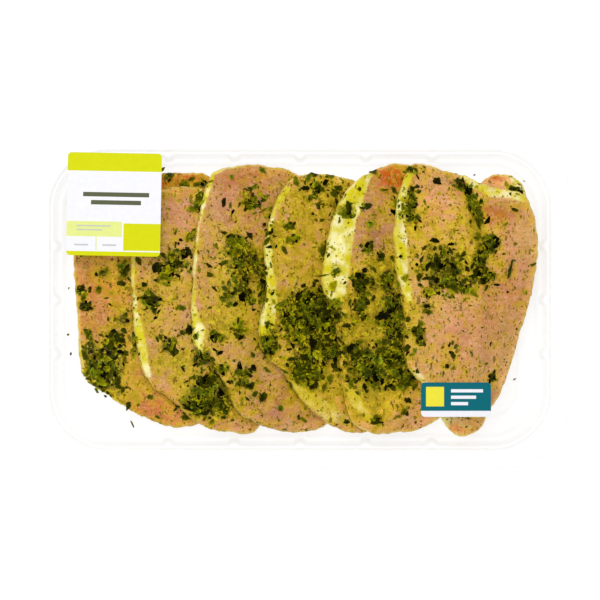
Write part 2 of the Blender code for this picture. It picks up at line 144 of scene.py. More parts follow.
# Fat: strips, each with how clearly it shows and its centre line with half widths
FAT = {
    "slice_1": ((0.55, ((-114, 14, 0.5), (-113, -4, 0.9), (-111, -24, 1.1), (-109, -37, 1.3),
                        (-102, -45, 1.2), (-90, -52, 0.7))),),
    "slice_2": ((1, ((-83, 30, 0.9), (-84.5, 9, 1.2), (-83, -6, 1.7), (-80, -20, 2.2),
                     (-78, -30, 2.2), (-76, -38, 1.3))),),
    "slice_3": ((1, ((-44, 61, 1), (-48, 50, 1), (-51, 35, 0.9), (-53.5, 12, 0.9),
                     (-53.5, -5, 1.5), (-51, -15, 3.2), (-51, -22, 2.8), (-49.5, -26, 1.2))),
                (0.8, ((-45, 64, 2), (-38, 66.5, 1.2), (-30, 67, 0.6)))),
    "slice_4": ((1, ((-6.5, 56, 1.4), (-13, 46, 1.6), (-16.5, 33, 1.6), (-16, 20, 2.2),
                     (-15, 8, 2.8), (-15.5, -2, 3.8), (-17, -10, 4.6), (-18, -15, 3.4))),
                (0.6, ((-4, -42, 1.6), (4, -49, 3.6), (14, -55.5, 4.2), (24, -61, 2)))),
    "slice_5": ((1, ((36, 65, 1.6), (29, 56, 4.2), (24, 46, 6), (21, 37, 6.6), (19.5, 25, 6.6),
                     (18, 14, 6.6), (17.5, 5, 5.6), (19, -2, 2))),
                (0.65, ((25, -44, 1.6), (27, -50, 2.8), (31, -55, 1.8), (38, -62, 1.3)))),
    "slice_6": ((1, ((55.5, 64, 2.2), (51, 55, 2.8), (49.5, 45, 3.2), (49, 36, 3.6),
                     (50, 27, 3.6), (50.5, 17, 3.3), (53, 7, 2.4), (54.5, 0, 1.1))),
                (0.9, ((82, 62, 1.6), (89, 58, 3), (97, 55, 3.2), (105, 53.5, 2.8),
                       (112, 51, 1.4))),
                (0.8, ((56, -36, 1.6), (60, -39, 1.8), (64, -43, 1)))),
    "slice_7": ((0.9, ((106.5, 63, 1.6), (109, 59, 2.8), (111, 54, 2.6))),
                (0.6, ((80, -63, 1.2), (86, -64, 1.2)))),
}
# Warm places, partly bloody meat: centre, half widths, strength
# Others are painted light shining through thin meat at top edges, and painted shade by the crease
WARM_AND_PAINTED_LIGHT = (
    (-66, 60, 14, 5, 0.9), (47, 62, 8, 6, 1.6), (83, 58, 5, 5, 0.8), (98, 43, 10, 5, 0.7),
    (-58, 62, 12, 3, 0.9), (-98, 6, 16, 14, 0.4), (-70, -55, 18, 7, 0.4), (-30, 60, 10, 8, 0.25),
    (100, -2, 12, 14, 0.25), (-20, 63, 14, 4, 0.3), (80, -64, 10, 4, 0.8), (98, 62, 5, 3, 0.9),
)
# Rosy, clean meat: centre, half widths, strength
ROSY = (
    (-72, -52, 16, 8, 0.8), (-60, 44, 8, 11, 0.8), (-29, 47, 14, 13, 0.8), (-18, -50, 14, 10, 0.4),
    (-8, -53, 9, 8, 0.7), (0, 28, 10, 16, 0.4), (37, 36, 8, 14, 0.4), (67, 50, 10, 13, 0.7),
    (82, -18, 18, 16, 0.9), (106, 18, 9, 18, 0.9), (78, -60, 9, 8, 0.8), (98, 58, 10, 6, 0.8),
    (-100, -8, 8, 8, 0.4), (-38, -62, 10, 4, 0.6), (60, -56, 10, 6, 0.4), (-52, 10, 8, 16, 0.3),
)
# Painted shade on the meat, or painted light where negative: centre, half widths, strength
SHADE = (
    (37, 34, 9, 16, 0.28), (100, 45, 9, 4, 0.28), (40, 0, 6, 14, 0.15), (-99, -20, 9, 12, 0.12),
    (75, -62, 9, 6, -2.1), (38, -54, 16, 8, -0.55), (10, 54, 13, 9, -0.12), (67, 50, 10, 13, -0.12),
    (-68, -32, 10, 9, 0.15), (103, 57, 8, 5, -0.2),
)
# Yellow oil with few herbs in it, or less oil than elsewhere: centre, half widths, strength
OIL = (
    (-27, 41, 4, 4, 0.7), (-37, -5, 10, 12, 0.4), (-12, 32, 4, 5, 0.6), (9, 14, 7, 5, 0.8),
    (55, 38, 6, 14, 0.7), (78, 38, 8, 10, 0.35), (75, -24, 8, 9, 0.4), (-46, -48, 12, 9, 0.8),
    (4, -46, 10, 9, 0.9), (40, -45, 18, 9, 0.7), (-60, -36, 12, 10, 0.35), (3, 30, 8, 14, 0.3),
    (62, 46, 8, 8, 0.3), (20, 22, 7, 8, 0.5), (-92, -48, 14, 7, 0.6), (44, 20, 9, 10, 0.3),
    (90, 44, 6, 10, 0.5), (48, -10, 10, 12, 0.6), (30, -12, 10, 14, 0.4), (-30, 12, 12, 14, 0.6),
    (-32, 52, 12, 9, -0.4), (-72, -54, 16, 6, -0.4), (36, -54, 16, 8, 0.4), (-60, 45, 8, 10, -0.2),
    (78, -64, 10, 4, -0.4), (100, 60, 8, 5, -0.4), (105, 0, 8, 30, -0.15), (-62, 62, 14, 4, -0.6),
    (47, 62, 9, 6, -0.7), (99, 43, 8, 4, -0.3), (83, 59, 5, 5, -0.3), (-98, -36, 9, 9, 0.5),
    (-98, 12, 16, 12, 0.2), (55, -10, 14, 14, 0.3), (-36, -12, 12, 10, 0.6), (10, 54, 13, 9, 0.6),
    (76, 14, 17, 10, 0.45), (-66, -31, 10, 8, 0.45), (37, 34, 7, 15, -0.35), (40, 6, 10, 16, 0.3),
)
# Herb clumps: centre, half widths, how dense
CLUMPS = (
    (-99, 14, 3, 2, 0.8), (-89, 13, 3, 6.5, 0.9), (-109, 4, 3, 3, 0.9), (-109, -3, 4, 2, 0.9),
    (-106, -18, 2, 4, 0.9), (-93, -20, 4, 5, 1), (-89, -9, 4, 4, 0.6), (-107, -25, 3, 2, 0.7),
    (-99, -37, 8, 8, 1), (-83, -22, 1.5, 6.5, 0.8), (-63, 19, 7, 8, 0.75), (-75, 0, 5, 6.5, 0.85),
    (-66, -23, 4.5, 5.5, 0.75), (-58, -16, 3, 2.5, 0.7), (-46, -46, 9, 10, 1),
    (-49, -53, 11, 4, 0.9), (-51, 48, 3, 4, 0.8), (-54, 32, 2.5, 3.5, 0.8), (-66, 63, 3, 2, 0.8),
    (-58, 59, 3, 2, 0.9), (-49, 58, 3, 2, 0.7), (-48, -28, 5, 4, 0.9), (-39, -34, 3, 2, 0.8),
    (-25, 50, 5, 4.5, 0.8), (-31, 29, 6, 4, 1), (-28, 18, 10.5, 7.5, 0.8), (-30, 3, 11, 7, 0.6),
    (-18, 6, 1.5, 7.5, 1), (-30, -15, 5, 3, 0.8), (-42, -19, 4, 2, 0.6), (-52, -18, 2, 3, 0.7),
    (-28, -42, 6, 8.5, 0.5), (-16, -22, 4.5, 7, 1), (0, -8, 10, 11, 1), (2, -36, 8, 7, 1),
    (-6, 37, 4, 2, 0.8), (-3, 30, 3, 2, 0.7), (11, 54, 12, 9, 0.45), (-15, 34, 3, 15, 0.35),
    (12, 25, 3, 4, 0.8), (24, 44, 6, 4, 0.9), (36, 64, 3, 1.5, 0.9), (17, 15, 3, 4, 0.7),
    (36, 38, 3, 3, 0.4), (34, 26, 3, 3, 0.8), (32, 9, 6.5, 6, 0.9), (42, 20, 4.5, 3.5, 0.5),
    (44, 10, 3, 4, 0.9), (11, -7, 11, 11, 1), (10, -25, 10, 5, 1), (4, -35, 4.5, 4, 0.9),
    (31, -4, 3, 6.5, 0.7), (46, -7, 6, 11, 0.9), (48, -25, 4, 11, 1), (36, -33, 14, 10, 1),
    (54, -40, 4.5, 4, 0.8), (38, -60, 3, 3.5, 0.8), (52, -56, 2, 3, 0.6), (56, 65, 3, 2, 1),
    (54, 47, 5.5, 11, 0.8), (80, 58, 3, 3, 0.8), (87, 45, 4, 10, 0.35), (84, 55, 1.5, 3, 1),
    (86, 50, 1.5, 3, 1), (88, 46, 2, 3, 1), (90, 41, 2, 3, 1), (95, 28, 5, 5, 0.9),
    (90, 20, 3, 4.5, 0.8), (69, 22, 11, 6.5, 0.55), (75, 9, 16, 8, 0.72), (94, 12, 6, 3, 0.6),
    (63, -4, 3, 3, 0.7), (60, -18, 3, 5.5, 0.8), (76, -28, 4, 5.5, 0.35), (96, -39, 2, 2.5, 0.9),
    (108, 56, 3.5, 2, 1), (72, -64, 2, 2, 0.9), (-98, -29, 10, 10, 0.45),
)

# Single leaves that stand out: centre, length, width, angle, tone from dark to light
LEAVES_SEEN = (
    (-99, 14, 7, 2.5, 15, 0), (-106, -18, 9.5, 3, -60, 0), (-92, -19, 9, 7.5, 40, 0),
    (-110, 6, 5.5, 4.5, 10, 0), (-108, -4, 7.5, 3.5, -5, 0), (-88, 15, 8.5, 5, 80, 0),
    (-88, -27, 5, 4, 30, 1), (-67, 15, 6.5, 5, 30, 0), (-64, 23, 4.5, 3.5, 0, 1),
    (-76, 1, 10, 7, -35, 0), (-73, -4, 5.5, 4.5, 60, 0), (-81, 20, 6.5, 3, -50, 0),
    (-52, 47, 8.5, 4.5, 75, 0), (-58, 58, 6, 5, 20, 1), (-52, 58, 4.5, 3, 10, 0),
    (-59, -4, 4.5, 3.5, 0, 1), (-64, -25, 8.5, 6, -60, 0), (-70, -19, 4.5, 2.5, -60, 0),
    (-56, -15, 6.5, 4.5, 80, 0), (-32, 29, 9, 6.5, 5, 0), (-26, 48, 7, 5, 30, 0),
    (-23, 57, 5.5, 2.5, 50, 1), (-19, 65, 5, 3.5, -30, 1), (-36, 2, 5, 3.5, 0, 1),
    (-31, -15, 9, 2.5, -5, 0), (-41, -18, 5.5, 4.5, 10, 1), (-52, -18, 5, 3.5, 70, 1),
    (-50, -26, 9, 3.5, -28, 0), (-39, -35, 5.5, 3, 0, 0), (-31, -36, 5.5, 4.5, 30, 1),
    (-25, -43, 5.5, 4.5, 60, 0), (-10, -54, 5, 3.5, -20, 0), (-5, 37, 7.5, 4.5, 22, 1),
    (-2, 31, 5.5, 4.5, 30, 1), (-8, 25, 5.5, 2.5, -60, 1), (-17, -22, 11.5, 7, -70, 0),
    (-6, -12, 9.5, 4.5, 38, 0), (2, -35, 12, 9.5, 0, 0), (-58, -59, 5, 4, 10, 0),
    (-55, -54, 9.5, 4.5, -10, 0), (-47, -41, 8, 7, 0, 0), (-46, -52, 9, 5.5, 5, 0),
    (-40, -54, 5.5, 3.5, -40, 0), (-75, -49, 4.5, 3.5, 0, 1), (-100, -39, 10, 7.5, -40, 0),
    (-104, -34, 6.5, 5.5, 0, 0), (-92, -41, 6.5, 4, 40, 0), (-85, -57, 4.5, 1.5, -70, 0),
    (-101, 5, 4.5, 4, 40, 1), (-13, 5, 3, 1.5, 0, 2), (-16, -8, 3.5, 1.5, 30, 1),
    (37, 64, 5.5, 3, 22, 0), (56, 65, 5.5, 3.5, -8, 0), (23, 43, 11.5, 6, 5, 0),
    (12, 24, 7.5, 5.5, 80, 0), (34, 26, 5.5, 5, 30, 0), (18, 14, 6.5, 5, 50, 0),
    (12, 12, 10.5, 1, -4, 0), (30, 8, 9.5, 8, 35, 0), (44, 11, 5.5, 5.5, 0, 0),
    (42, 55, 5, 2, 15, 0), (34, 47, 6, 4, 40, 0), (19, 56, 5.5, 4.5, 0, 0), (9, 56, 5.5, 5, 0, 0),
    (15, 62, 5.5, 3.5, 30, 1), (4, 61, 5.5, 3.5, 60, 1), (46, -3, 8.5, 8, 0, 0),
    (31, -1, 7.5, 5.5, 75, 0), (18, -1, 7.5, 6, 0, 0), (56, 52, 8, 4, -65, 0), (52, 45, 6, 5, 0, 1),
    (57, 41, 5.5, 3, 0, 1), (80, 56, 5.5, 4, -40, 0), (86, 48, 8, 3.5, -60, 0),
    (89, 39, 8, 3.5, -70, 0), (96, 30, 9, 5.5, 60, 0), (92, 20, 8, 5, 60, 1),
    (93, 11, 13, 2.5, 22, 1), (105, 15, 12, 2, 75, 0), (77, 6, 8.5, 4, -42, 0),
    (63, 11, 5.5, 2.5, 5, 0), (68, 18, 9, 7, 30, 0), (83, 5, 7.5, 5.5, 0, 0),
    (59, -15, 7.5, 5.5, 30, 0), (64, -6, 5, 3, -15, 0), (96, -39, 5.5, 3, 55, 0),
    (104, 4, 2, 1.5, 0, 0), (108, 56, 7.5, 3, 4, 0), (108, 28, 2.5, 2, 0, 2),
    (54, -50, 5.5, 3.5, -10, 0), (38, -60, 6.5, 5.5, 30, 0), (52, -56, 5.5, 3.5, 70, 1),
    (12, -44, 5.5, 3, 70, 1), (23, -61, 4.5, 3.5, 0, 0), (3, -34, 8, 7, 0, 0),
    (37, -36, 11, 9, 0, 0), (28, -27, 9, 5.5, 20, 0), (41, -8, 8.5, 5.5, 0, 0),
    (11, -6, 10, 7.5, 0, 0), (6, -14, 8.5, 5.5, 40, 0), (86, -27, 4.5, 1.5, -70, 1),
    (8, -40, 4.5, 3.5, 60, 1), (113, 4, 3, 2, 60, 1), (103, 38, 3, 2, 30, 1),
    (76, 2, 4.5, 3, 70, 2), (35, 38, 5.5, 4, 40, 1), (8, 40, 3.5, 1.5, -60, 1),
)

# Bits that fell on the tray's floor: place, length, width, angle
TRAY_BITS = (
    (-117, -17.5, 2, 1.2, 20), (-115.5, -27, 2.4, 1.4, 80), (-116.5, 6, 1.6, 1.1, 50),
    (-98, -48.5, 2.6, 1.2, -40), (-84.5, -62.5, 5.4, 1.1, -62), (88, 63, 1.8, 1.2, 10),
    (113, 60, 1.6, 1, 70), (108, -40, 1.8, 1, 30),
)

# Each slice's crumple in millimetres, its oil, and its meat's tone beside the common one
SLICE_LOOKS = {
    "slice_1": (0.6, 0.2, (0.92, 0.8, 0.7)),
    "slice_2": (0.5, 0.16, (0.89, 0.88, 0.97)),
    "slice_3": (0.45, 0.12, (0.84, 0.82, 0.9)),
    "slice_4": (0.6, 0.18, (0.92, 0.91, 1.2)),
    "slice_5": (0.7, 0.16, (0.92, 0.88, 1)),
    "slice_6": (0.5, 0.1, (1, 1, 1.05)),
    # slice_7's much lighter tone is partly its own colour, partly painted light against the shade
    # it lies in
    "slice_7": (1.4, 0.1, (1.2, 1.4, 1.4)),
}
AROUND = 420  # points round a slice
CAP_INSET = 6.2 * MM  # where a slice's finely divided top starts
# Seeds of the slices' noises, each plus the slice's number
BROAD, FINE, WOBBLE, CREAM, GRAIN = 20, 40, 60, 80, 120
CRUMPLES, FIBRES, RAGGED, NICKS = 140, 160, 200, 220

SEED = 11  # of the herbs
MEAT_SPAN = ((-114, 120), (-68, 70))  # where loose bunches of herbs may lie
BUNCHES = 260
BUNCH_SPREAD = 4.5
CLUMP_SPREAD = 0.62  # as a share of a clump's half widths
LEAVES = 2000
LEAF_LENGTH, LEAF_LENGTH_SPREAD, LEAF_LONGEST = 3.3, 0.36, 7.5
LEAF_WIDTHS = (0.35, 0.8)  # as a share of the length
LEAF_SIDES = (6, 7, 8)
LEAF_CURLS = (-0.6, 0.9)
LEAF_THICKNESS = 0.18 * MM
LEAF_LOOSE = 0.03  # share of the leaves in loose bunches
SEEN_SIDES = 13  # of a leaf that stands out
SEEN_SHRINK = 0.95 * MM  # its size beside the table's
SEEN_THICKNESS = 0.2 * MM
# Finer herbs: name, count, share in loose bunches, range of length, range of width as a share
# of it, sides, curl, thickness, tilt, lift, and how often the brown tones count
FINE_HERBS = (
    ("herb_scraps", 2800, 0.45, (1, 2.6), (0.35, 0.75), 5, 0.3, 0.12, 0.15, 0.3, 2),
    ("herb_specks", 4200, 0.6, (0.6, 1.8), (0.4, 0.8), 4, 0.1, 0.1, 0.1, 0.1, 3),
)
RIM_SHADE = 1.5  # how much painted light a leaf's rim has beside its tint
INNER_SHADE = 0.75  # and painted shade in its middle
PATCH_SIZE = 6 * MM
PATCHINESS = 0.7  # how much lighter and darker herbs lie in patches
TINT_SPREAD = 0.42
TINT_MOST = 1.8
LEAF_REST = 0.04 * MM  # least height of a leaf over the meat
LEAF_HOVER = 0.9 * MM  # height past which a leaf bends down to the meat
LEAF_BEND = 1.1 * MM  # and how far at most
STEEPEST = 0.25  # least upward part of a surface's normal where herbs stay

# Stage
FLOOR_REACH = 2
FLOOR_DROP = 0.5 * MM
FLOOR_GLOW = 0.86
WORLD_LIGHT = 0.46
KEY_PLACE = (-0.16, 0.18, 1.1)
KEY_SIZE = 0.7
KEY_POWER = 8.3
CAMERA_HEIGHT = 5  # over the rim
VIEW_WIDTH = 0.3  # of what the camera sees at the rim
SENSOR = 36


def srgb(*display):
    """A display colour of 0 to 255 a channel as the linear colour that shaders take."""
    values = np.array(display) / 255
    return np.where(values <= 0.04045, values / 12.92, ((values + 0.055) / 1.055) ** 2.4)


MEAT_BEIGE = srgb(214, 163, 98)
MEAT_PINK = srgb(213, 150, 106)
MEAT_RED = srgb(198, 92, 4)
VEIN = srgb(240, 208, 170)
FAT_CREAM = srgb(246, 238, 178)
FAT_YELLOW = srgb(216, 202, 24)
# Painted light on the meat's edges, where light shines through them
EDGE_PAINTED_LIGHT = srgb(250, 232, 108)
OIL_YELLOW = srgb(222, 200, 34)
LEAF_LIGHTEST = srgb(176, 164, 60)
# Near-black tints paint the shade of the clumps' deep gaps onto the leaves there
HERB_BLACK = ((26, 26, 0), (38, 38, 1), (12, 12, 0))
HERB_DARK = ((62, 62, 2), (78, 79, 4), (50, 50, 2), (88, 90, 6), (60, 66, 8))
HERB_MID = ((98, 96, 5), (116, 112, 8), (84, 85, 4), (84, 92, 12), (108, 106, 8))
HERB_LIGHT = ((148, 138, 8), (166, 150, 12), (132, 124, 8), (118, 120, 18))
HERB_BROWN = ((148, 116, 4), (126, 96, 2), (164, 138, 8))
LEAF_TONES = HERB_BLACK * 2 + HERB_DARK * 2 + HERB_MID * 2 + HERB_LIGHT[:1]
# Display colours at places from 0 to 1: the marinade as it lies thicker, herb mash from painted
# shade in its pits through its olive to its yellow crests, small flecks and large ones
MARINADE = ((0.1, (224, 196, 40)), (0.35, (212, 190, 26)), (0.55, (186, 168, 16)),
            (0.8, (152, 138, 10)), (1, (128, 116, 6)))
MASH = ((0.38, (5, 5, 0)), (0.45, (34, 33, 1)), (0.5, (92, 86, 3)), (0.56, (150, 136, 8)),
        (0.64, (206, 188, 22)))
SMALL_FLECKS = ((0.1, (146, 110, 4)), (0.35, (124, 98, 2)), (0.6, (108, 90, 1)),
                (0.85, (176, 156, 8)))
LARGE_FLECKS = ((0.1, (76, 74, 2)), (0.5, (104, 96, 4)), (0.9, (150, 138, 6)))
# How much of the meat the marinade hides as it lies thicker
MARINADE_COVER = ((0.1, 0), (0.3, 0.22), (0.5, 0.5), (0.7, 0.74), (1, 0.9))


# Helpers


def lattice(x, y, seed):
    """Smooth value noise of -1 to 1 at any places."""
    table = np.random.RandomState(seed).uniform(-1, 1, (64, 64))
    i, j = np.floor(x).astype(int), np.floor(y).astype(int)
    u, v = x - i, y - j
    u, v = u * u * (3 - 2 * u), v * v * (3 - 2 * v)
    a, b = table[i % 64, j % 64], table[(i + 1) % 64, j % 64]
    c, d = table[i % 64, (j + 1) % 64], table[(i + 1) % 64, (j + 1) % 64]
    return (a * (1 - u) + b * u) * (1 - v) + (c * (1 - u) + d * u) * v


def fractal(px, py, size, octaves, seed):
    """Layered noise whose largest features are about size metres across."""
    total, weight, amount = 0.0, 0.0, 1.0
    for octave in range(octaves):
        scale = 2**octave / size
        total = total + amount * lattice(px * scale + 7.3 * octave, py * scale, seed + octave)
        weight += amount
        amount *= 0.55
    return total / weight


def ease(value):
    value = np.clip(value, 0, 1)
    return value * value * (3 - 2 * value)


def blended(colours, share, other):
    """Colours moved towards another one by a share for each."""
    return colours + share[:, None] * (other - colours)


def new_object(name, data):
    obj = bpy.data.objects.new(name, data)
    bpy.context.scene.collection.objects.link(obj)
    return obj


def add_colours(mesh, name, colours):
    """Gives each point of a mesh a colour, in a layer that the shaders read."""
    layer = mesh.color_attributes.new(name, "FLOAT_COLOR", "POINT")
    filled = np.ones((len(colours), 4), np.float32)
    filled[:, : colours.shape[1]] = colours
    layer.data.foreach_set("color", filled.ravel())


def mesh_object(name, points, faces, material, colours=None, smooth=True):
    """An object from arrays, with a colour for each point where given."""
    mesh = bpy.data.meshes.new(name)
    mesh.from_pydata([tuple(p) for p in points], [], [tuple(f) for f in faces])
    mesh.materials.append(material)
    if colours is not None:
        add_colours(mesh, "Tint", colours)
    if smooth:
        mesh.shade_smooth()
    mesh.update()
    return new_object(name, mesh)


def ring_faces(rings, count):
    """Quads between rings of count points each, and a cap over the last ring."""
    faces = []
    for low in range(0, (rings - 1) * count, count):
        for i in range(count):
            j = (i + 1) % count
            faces.append((low + i, low + j, low + count + j, low + count + i))
    return faces + [tuple(range((rings - 1) * count, rings * count))]


def hand_over(piece, node=None):
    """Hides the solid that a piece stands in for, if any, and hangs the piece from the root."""
    if node:
        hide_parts(node)
    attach(piece, "root")


def smooth_outline(points, count):
    """count points of the closed Catmull-Rom curve through points, in metres."""
    control = np.array(points, float) * MM
    places = np.arange(count) * len(control) / count
    index = places.astype(int)
    t = (places - index)[:, None]
    before, start, end, after = (control[(index + k) % len(control)] for k in (-1, 0, 1, 2))
    return 0.5 * (
        2 * start
        + (end - before) * t
        + (2 * before - 5 * start + 4 * end - after) * t**2
        + (3 * start - before - 3 * end + after) * t**3
    )


def inside_outline(px, py, outline):
    """Which places lie inside a closed outline, by crossing count."""
    ax, ay = outline.T
    bx, by = np.roll(outline, -1, axis=0).T
    x, y = px[..., None], py[..., None]
    crosses = (ay > y) != (by > y)
    rise = np.where(ay == by, 1.0, by - ay)
    left = x < ax + (bx - ax) * (y - ay) / rise
    return (crosses & left).sum(axis=-1) % 2 == 1


def edge_distance(px, py, outline):
    """Distance from each place to the nearest of the outline's points."""
    away = np.hypot(px[..., None] - outline[:, 0], py[..., None] - outline[:, 1])
    return away.min(axis=-1)


def strip_depth(px, py, line):
    """How far each place lies inside a strip of varying half width, negative outside it."""
    deepest = np.full(px.shape, -1.0)
    line = np.array(line) * MM
    for (ax, ay, aw), (bx, by, bw) in zip(line, line[1:]):
        run = (bx - ax) ** 2 + (by - ay) ** 2
        t = np.clip(((px - ax) * (bx - ax) + (py - ay) * (by - ay)) / run, 0, 1)
        away = np.hypot(px - ax - t * (bx - ax), py - ay - t * (by - ay))
        deepest = np.maximum(deepest, aw + t * (bw - aw) - away)
    return deepest


def spots(px, py, table, softness=1.0):
    """Summed strength of elliptical spots, each fading out from its middle."""
    total = np.zeros(px.shape)
    for x, y, rx, ry, strength in table:
        far = ((px / MM - x) / rx) ** 2 + ((py / MM - y) / ry) ** 2
        total = total + strength * np.exp(-far / softness)
    return total


# The pile of slices


def upper_envelope(heights):
    """A stiff board laid along a row of heights: the lowest concave line over them."""
    hull = []
    for point in enumerate(heights):
        while len(hull) > 1:
            (x0, z0), (x1, z1) = hull[-2:]
            if (z1 - z0) * (point[0] - x1) > (point[1] - z1) * (x1 - x0):
                break
            hull.pop()
        hull.append(point)
    places, tops = zip(*hull)
    return np.interp(np.arange(len(heights)), places, tops)


def board_over(heights, mask):
    """The envelope along each row of the grid, within the mask."""
    laid = heights.copy()
    for row, held in enumerate(mask):
        columns = np.flatnonzero(held)
        if len(columns) > 1:
            span = slice(columns[0], columns[-1] + 1)
            laid[row, span] = upper_envelope(heights[row, span])
    return laid


def blurred(heights, mask, passes):
    """The heights inside the mask, evened out and carried past its edge."""
    layers = np.stack((np.where(mask, heights, 0.0), mask))
    for _ in range(passes):
        for axis in (1, 2):
            layers = (np.roll(layers, 1, axis) + 2 * layers + np.roll(layers, -1, axis)) / 4
    return layers[0] / np.maximum(layers[1], 1e-9)


def widened(heights, cells):
    """Each place's highest height within a number of cells, so ridges and edges grow."""
    for _ in range(cells):
        for axis in (0, 1):
            sides = np.roll(heights, 1, axis), np.roll(heights, -1, axis)
            heights = np.maximum(heights, np.maximum(*sides))
    return heights


def rounded_distance(px, py, half_x, half_y, radius):
    """Distance in from a rounded rectangle's edge, negative outside it."""
    qx = np.abs(px) - (half_x - radius)
    qy = np.abs(py) - (half_y - radius)
    outside = np.hypot(np.maximum(qx, 0), np.maximum(qy, 0))
    return radius - outside - np.minimum(np.maximum(qx, qy), 0)


def tray_floor(px, py):
    """Height of the tray's inside: the panel's level, rising where floor meets wall."""
    half_x, half_y = RIM_LENGTH / 2 - WALL_FOOT_INSET, RIM_WIDTH / 2 - WALL_FOOT_INSET
    into = rounded_distance(px, py, half_x, half_y, MOUTH_RADIUS - 4 * MM)
    rise = (WALL_FOOT - WALL) / (FLOOR_INSET - WALL_FOOT_INSET)
    return np.maximum(WALL + PANEL_RISE, WALL_FOOT - rise * (into - 1 * MM))


def edge_height(inset):
    """Share of the slice's thickness at a distance in from its edge."""
    return np.sqrt(np.clip(1 - (1 - np.clip(inset, 0, EDGE_ROUND) / EDGE_ROUND) ** 2, 0, 1))


def crease(px, py):
    """Depth of the last slice's crease, widest in its middle and fading at both ends."""
    start, end = Vector(CREASE_START), Vector(CREASE_END)
    run = end - start
    along = ((px - start.x) * run.x + (py - start.y) * run.y) / run.length_squared
    off = ((px - start.x) * run.y - (py - start.y) * run.x) / run.length
    fade = np.clip(1.25 - np.abs(along - 0.4) * 1.6, 0, 1)
    return CREASE_DEPTH * fade * np.exp(-((off / CREASE_HALF_WIDTH) ** 2) * 2)


def unevenness(px, py, phase):
    """Gentle swells of a hand-cut slice, as a share of its thickness."""
    return 0.05 * (
        np.sin(px * 95 + phase) * np.cos(py * 60 - 2 * phase)
        + 0.6 * np.sin(py * 130 + px * 40 + phase)
    )


class Pile:
    """The slices as height fields, each laid on what is under it, as the solids are."""

    def __init__(self):
        half_x, half_y = RIM_LENGTH / 2 - SEAL_WIDTH, RIM_WIDTH / 2 - SEAL_WIDTH
        self.xs = np.arange(-half_x, half_x + GRID, GRID)
        self.ys = np.arange(-half_y, half_y + GRID, GRID)
        self.px, self.py = np.meshgrid(self.xs, self.ys)
        self.support = tray_floor(self.px, self.py)
        self.bottoms = {}
        for name, points in OUTLINES.items():
            self.lay(name, smooth_outline(points, GRID_AROUND))

    def lay(self, name, outline):
        """Works out the underside of the next slice and adds the slice to the support."""
        mask = inside_outline(self.px, self.py, outline)
        stiff = under = widened(self.support, 2)
        for _ in range(2):
            stiff = board_over(board_over(stiff, mask).T, mask.T).T
        laid = blurred(stiff - SAG * (stiff - under), mask, 4)
        lifted = np.where(mask, np.maximum(laid, under), laid) + PILE_GAP
        evened = blurred(lifted, mask, 1)
        self.bottoms[name] = np.where(mask, evened, blurred(evened, mask, 8))
        inset = edge_distance(self.px, self.py, outline)
        top = self.bottoms[name] + self.thickness(name, self.px, self.py) * edge_height(inset)
        self.support = np.where(mask, np.maximum(self.support, top), self.support)

    def thickness(self, name, px, py):
        """The slice's thickness at a place, the crease included."""
        full = SLICE_THICKNESS * (1 + unevenness(px, py, 1.7 * list(OUTLINES).index(name)))
        return full - crease(px, py) if name == "slice_6" else full

    def underside(self, name, px, py):
        """Height of the slice's underside at any places, read between the grid's points."""
        u = np.clip((px - self.xs[0]) / GRID, 0, len(self.xs) - 1.001)
        v = np.clip((py - self.ys[0]) / GRID, 0, len(self.ys) - 1.001)
        i, j = u.astype(int), v.astype(int)
        fu, fv = u - i, v - j
        z = self.bottoms[name]
        low = z[j, i] * (1 - fu) + z[j, i + 1] * fu
        high = z[j + 1, i] * (1 - fu) + z[j + 1, i + 1] * fu
        return low * (1 - fv) + high * fv


